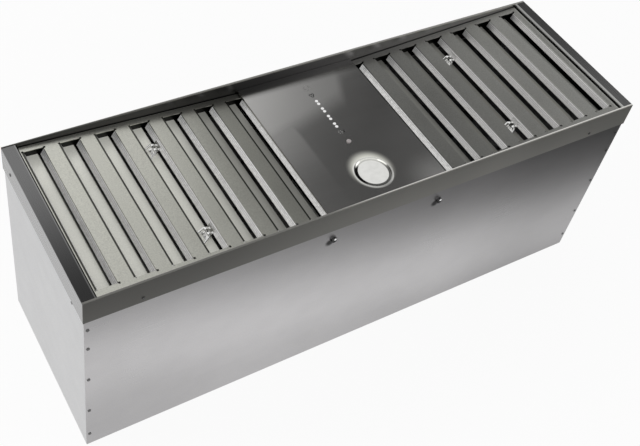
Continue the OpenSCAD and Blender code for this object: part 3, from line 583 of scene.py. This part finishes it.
def steel_bar_look():
    return steel("ground_bar", (0.56, 0.56, 0.56), 0.28, "x", grain=0.8, speckle=0.3)


def symbol_look(name, color):
    """Printed marks of one tone, a little worn."""
    look = Look(name, color, roughness=0.5)
    wear = look.noise((1.2, 1.2, 1.2), detail=3)
    look.color(look.mix(look.spread(wear, 0.35, 0.65), tuple(0.7 * part for part in color), color))
    look.bump(wear, 0.01)
    return look


# Printed symbols of the panel


def add_stroke(form, points, width):
    """A raised line of the given width through points, all in millimetres on the panel."""
    for start, end in zip(points, points[1:]):
        start, end = Vector((*start, 0)), Vector((*end, 0))
        along = end - start
        across = Vector((-along.y, along.x, 0)).normalized() * width / 2
        along = along.normalized() * width * 0.2
        corners = [start - along + across, end + along + across, end + along - across, start - along - across]
        low, high = [
            [form.verts.new(corner + Vector((0, 0, z))) for corner in corners] for z in (0.0, SYMBOL_HEIGHT)
        ]
        form.faces.new(high)
        form.faces.new(low[::-1])
        for i in range(4):
            form.faces.new((low[i], low[i - 1], high[i - 1], high[i]))


def ring_points(middle, radius, start=0, end=360, count=24):
    """Points of an arc, counted from its start and end in degrees."""
    turns = [math.radians(start + (end - start) * i / count) for i in range(count + 1)]
    return [(middle[0] + radius * math.cos(turn), middle[1] + radius * math.sin(turn)) for turn in turns]


def outward(middle, degrees, distance):
    """The point at a distance from middle, in a direction in degrees."""
    turn = math.radians(degrees)
    return (middle[0] + distance * math.cos(turn), middle[1] + distance * math.sin(turn))


def add_symbol_piece(name, look, strokes):
    form = bmesh.new()
    for points, width in strokes:
        add_stroke(form, points, width)
    bmesh.ops.recalc_face_normals(form, faces=form.faces)
    bmesh.ops.scale(form, vec=(MM, MM, MM), verts=form.verts)
    bmesh.ops.translate(form, vec=(0, 0, PANEL_TOP), verts=form.verts)
    mesh = bpy.data.meshes.new(name)
    form.to_mesh(mesh)
    form.free()
    mesh.materials.append(look.material)
    piece = bpy.data.objects.new(name, mesh)
    scene.collection.objects.link(piece)
    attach(piece, "case")


def add_symbols():
    """Generic marks beside the lights: on and off, a fan, and a small sun for the lamp."""
    power = (0.5, 101.5)
    fan = (0, 84.5)
    sun = (-1, 2)
    pale = [
        (ring_points(power, 4.4, 120, 420), 0.9),
        (((power[0], power[1] + 2), (power[0], power[1] + 6.5)), 0.9),
        (ring_points((sun[0] + 1, sun[1]), 5.2, -40, 40), 0.9),
    ]
    dark = []
    for turn in (30, 150, 270):
        x, y = outward(fan, turn, 2.1)
        dark.append((ring_points((x, y), 1.9, turn - 150, turn + 120, 10), 1.1))
    for turn in range(0, 360, 60):
        pale.append(((outward(sun, turn, 2.0), outward(sun, turn, 3.6)), 1.0))
    add_symbol_piece("pale_symbols", symbol_look("pale_print", (0.36, 0.36, 0.35)), pale)
    add_symbol_piece("dark_symbols", symbol_look("dark_print", (0.035, 0.035, 0.035)), dark)


def paint(look, *names):
    for name in names:
        piece = node_of[name]
        piece.data.materials.clear()
        piece.data.materials.append(look.material)


def dress_nodes():
    paint(wall_look(), "front_wall", "back_wall")
    paint(end_wall_look(), "left_wall", "right_wall")
    for side in ("front", "back"):
        paint(long_rim_look(side), side + "_rim")
    for side in ("left", "right"):
        paint(end_rim_look(side), side + "_rim")
    paint(panel_look(), "centre_panel")
    for side in ("left", "right"):
        paint(filter_face_look(side), side + "_filter_face")
        paint(baffle_look(side), side + "_filter_baffles")
        paint(filter_frame_look(side), side + "_filter_frame")
    duct = duct_look()
    paint(duct, "top_plate", "filter_rails", "panel_brackets", "blower_wrapper", "blower_left_side",
          "blower_right_side", "blower_feet", "motor_bracket", "outlet_adapter", "outlet_collar")
    chrome = chrome_look()
    for side in ("left", "right"):
        paint(chrome, side + "_filter_clips", side + "_front_bail", side + "_back_bail")
    paint(zinc_look(), "corner_rivets", "rim_rivets", "filter_catches")
    paint(screw_look(), "bracket_screws")
    paint(trim_look(), "inlet_rings")
    paint(ring_look(), "lamp_ring")
    paint(button_look(), "push_button")
    paint(lens_look(), "lamp_lens")
    paint(window_look(), "indicator_windows")
    paint(plastic_look("grey_plastic", (0.23, 0.24, 0.25)),
          "control_box", "terminal_box", "terminal_box_cover")
    paint(plastic_look("black_plastic", (0.03, 0.03, 0.03)), "button_switch")
    paint(board_look(), "control_board")
    paint(plastic_look("white_plastic", (0.75, 0.75, 0.72)),
          "led_board", "lamp_driver", "run_capacitor", "terminal_block")
    paint(aluminium_look(), "lamp_heat_sink", "lamp_housing", "damper_flap_front", "damper_flap_back")
    paint(plastic_look("wheel_plastic", (0.10, 0.10, 0.11)), "impeller")
    paint(plastic_look("motor_paint", (0.12, 0.13, 0.15), 0.4), "fan_motor")
    paint(steel_bar_look(), "fan_shaft", "damper_rod")
    paint(rubber_look(), "cable_grommet", "control_cables", "motor_cable")


# Camera, floor, world and lamps


def set_camera():
    """The photograph's view, solved from the edges of the case."""
    eye = Vector((-0.70102, -0.78961, 1.32493))
    target = Vector((-0.02813, 0.03148, 0.2))
    roll = 11.993
    data = bpy.data.cameras.new("camera")
    data.sensor_width = 36
    data.lens = 56.806
    data.shift_x = 0.0283
    data.shift_y = -0.0657
    data.clip_end = 50
    camera = bpy.data.objects.new("camera", data)
    turn = (target - eye).to_track_quat("-Z", "Y").to_matrix().to_4x4()
    camera.matrix_world = Matrix.Translation(eye) @ turn @ Matrix.Rotation(math.radians(roll), 4, "Z")
    scene.collection.objects.link(camera)
    scene.camera = camera


def add_floor():
    """A white floor. Metal mirrors a painted pattern of light instead: bright near the object and far off,
    dim between, with a painted shadow at the object's foot.
    """
    mesh = bpy.data.meshes.new("floor")
    form = bmesh.new()
    bmesh.ops.create_circle(form, cap_ends=True, segments=96, radius=8)
    form.to_mesh(mesh)
    form.free()
    floor = bpy.data.objects.new("floor", mesh)
    floor.location.z = -0.0004
    scene.collection.objects.link(floor)
    look = Look("floor_paper", (0.9, 0.9, 0.9), roughness=0.9)
    tree = look.tree
    x = look.axis("X")
    y = look.axis("Y")
    ahead = look.math("MULTIPLY_ADD", x, 0.083, look.math("MULTIPLY", y, -1.0))
    near = look.spread(ahead, 0.235, 0.350, 1, 0)
    far = look.spread(ahead, 1.3, 2.6, 0, 1)
    lit = look.math("MAXIMUM", near, far)
    # Painted shade in what metal mirrors: the dim level between, dimmer towards +x.
    gloom = look.spread(x, -0.35, 0.75, 0.16, 0.03)
    # Painted shadow in what metal mirrors: dimmer at the object's foot.
    bright = look.spread(ahead, 0.15, 0.21, 0.68, 0.88)
    tone = look.math("MULTIPLY_ADD", lit, look.math("SUBTRACT", bright, gloom), gloom)
    mirrored = tree.nodes.new("ShaderNodeEmission")
    look.link(tone, mirrored.inputs["Strength"])
    seen = tree.nodes.new("ShaderNodeEmission")
    seen.inputs["Strength"].default_value = 1.0
    shaded = tree.nodes.new("ShaderNodeMixShader")
    shaded.inputs[0].default_value = 0.92
    look.link(look.shader.outputs[0], shaded.inputs[1])
    look.link(seen.outputs[0], shaded.inputs[2])
    ray = tree.nodes.new("ShaderNodeLightPath")
    choice = tree.nodes.new("ShaderNodeMixShader")
    look.link(ray.outputs["Is Glossy Ray"], choice.inputs[0])
    look.link(shaded.outputs[0], choice.inputs[1])
    look.link(mirrored.outputs[0], choice.inputs[2])
    look.link(choice.outputs[0], tree.nodes["Material Output"].inputs["Surface"])
    mesh.materials.append(look.material)


def set_world():
    """White for the camera. Metal mirrors a graded studio with a dim gap instead."""
    world = bpy.data.worlds.new("studio")
    world.use_nodes = True
    scene.world = world
    tree = world.node_tree
    nodes = tree.nodes
    background = nodes["Background"]
    place = nodes.new("ShaderNodeTexCoord").outputs["Generated"]
    parts = nodes.new("ShaderNodeSeparateXYZ")
    tree.links.new(place, parts.inputs[0])

    def math_node(operation, a, b=0.0, c=0.0):
        node = nodes.new("ShaderNodeMath")
        node.operation = operation
        for socket, value in zip(node.inputs, (a, b, c)):
            if hasattr(value, "is_linked"):
                tree.links.new(value, socket)
            else:
                socket.default_value = value
        return node.outputs[0]

    radians = math_node("ARCTAN2", parts.outputs["Y"], parts.outputs["X"])
    around = math_node("MULTIPLY", radians, 180 / math.pi)
    turn = math_node("MULTIPLY_ADD", around, 1 / 360, 0.5)
    ramp = nodes.new("ShaderNodeValToRGB")
    ramp.color_ramp.interpolation = "EASE"
    stops = ramp.color_ramp.elements
    for angle, level in STUDIO.items():
        position = angle / 360 + 0.5
        stop = stops[0] if angle == -180 else stops[1] if angle == 180 else stops.new(position)
        stop.color = (level, level, level, 1)
    tree.links.new(turn, ramp.inputs[0])
    low = nodes.new("ShaderNodeMapRange")
    low.interpolation_type = "SMOOTHSTEP"
    for socket, value in zip(low.inputs, (parts.outputs["Z"], 0.30, 0.55, 1.0, 0.0)):
        if hasattr(value, "is_linked"):
            tree.links.new(value, socket)
        else:
            socket.default_value = value
    mirrored = nodes.new("ShaderNodeMix")
    mirrored.data_type = "RGBA"
    tree.links.new(low.outputs[0], mirrored.inputs["Factor"])
    tree.links.new(ramp.outputs[0], mirrored.inputs[6])
    mirrored.inputs[7].default_value = (0.80, 0.80, 0.80, 1)
    ray = nodes.new("ShaderNodeLightPath")
    plain = nodes.new("ShaderNodeMix")
    plain.data_type = "RGBA"
    tree.links.new(ray.outputs["Is Glossy Ray"], plain.inputs["Factor"])
    plain.inputs[6].default_value = (0.62, 0.62, 0.62, 1)
    tree.links.new(mirrored.outputs[2], plain.inputs[7])
    final = nodes.new("ShaderNodeMix")
    final.data_type = "RGBA"
    tree.links.new(ray.outputs["Is Camera Ray"], final.inputs["Factor"])
    tree.links.new(plain.outputs[2], final.inputs[6])
    final.inputs[7].default_value = (1, 1, 1, 1)
    tree.links.new(final.outputs[2], background.inputs["Color"])


def add_lamp(name, place, aim, size, power):
    data = bpy.data.lights.new(name, "AREA")
    data.shape = "RECTANGLE"
    data.size, data.size_y = size
    data.energy = power
    lamp = bpy.data.objects.new(name, data)
    place = Vector(place)
    turn = (Vector(aim) - place).to_track_quat("-Z", "Y").to_matrix().to_4x4()
    lamp.matrix_world = Matrix.Translation(place) @ turn
    lamp.visible_glossy = False
    scene.collection.objects.link(lamp)


def set_stage():
    scene.view_settings.view_transform = "Standard"
    set_camera()
    add_floor()
    set_world()
    middle = (0, 0, 0.2)
    add_lamp("key", (-1.8, 0.9, 1.9), middle, (1.2, 0.9), 14)
    add_lamp("fill", (1.6, -1.8, 1.6), middle, (1.4, 1.0), 6)


dress_nodes()
add_symbols()
set_stage()
